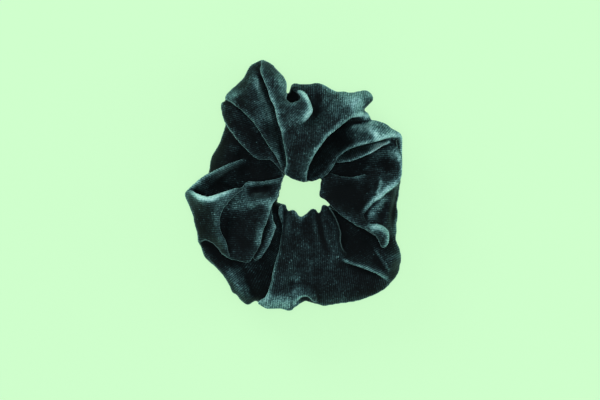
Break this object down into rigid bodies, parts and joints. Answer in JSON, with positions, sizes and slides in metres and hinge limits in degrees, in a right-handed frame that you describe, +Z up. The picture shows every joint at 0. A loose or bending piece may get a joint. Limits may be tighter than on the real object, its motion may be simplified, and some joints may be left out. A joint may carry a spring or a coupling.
{
  "type": "scrunchie",
  "caption": "Gathered ring of dark teal stretch velvet over a sewn loop of flat elastic, lying flat with a small hair hole in the middle.",
  "frame": {"origin": "middle of the footprint, at the height of the surface that the scrunchie lies on", "axes": "+Z up, through the hair hole; +Y towards the tallest fold of the cover; +X towards the side that is pulled"},
  "size_m": [0.1002, 0.115, 0.0397],
  "materials": {
    "velvet": "dark teal stretch velvet, matt in the folds with a pale blue-green sheen at grazing angles",
    "elastic": "matt black braided elastic",
    "thread": "dark teal spun polyester thread"
  },
  "bodies": {
    "left_side": {"velvet_cover_left": "velvet", "elastic_band": "elastic", "elastic_join_thread": "thread", "tube_seam_thread": "thread", "closing_seam_thread": "thread"},
    "right_side": {"velvet_cover_right": "velvet"}
  },
  "joints": [
    {"name": "stretch", "type": "slide", "parent": "left_side", "child": "right_side", "axis": [1, 0, 0], "range_m": [0, 0.08], "stiffness_N_per_m": 60, "deforming": ["elastic_band", "tube_seam_thread", "closing_seam_thread"]}
  ]
}
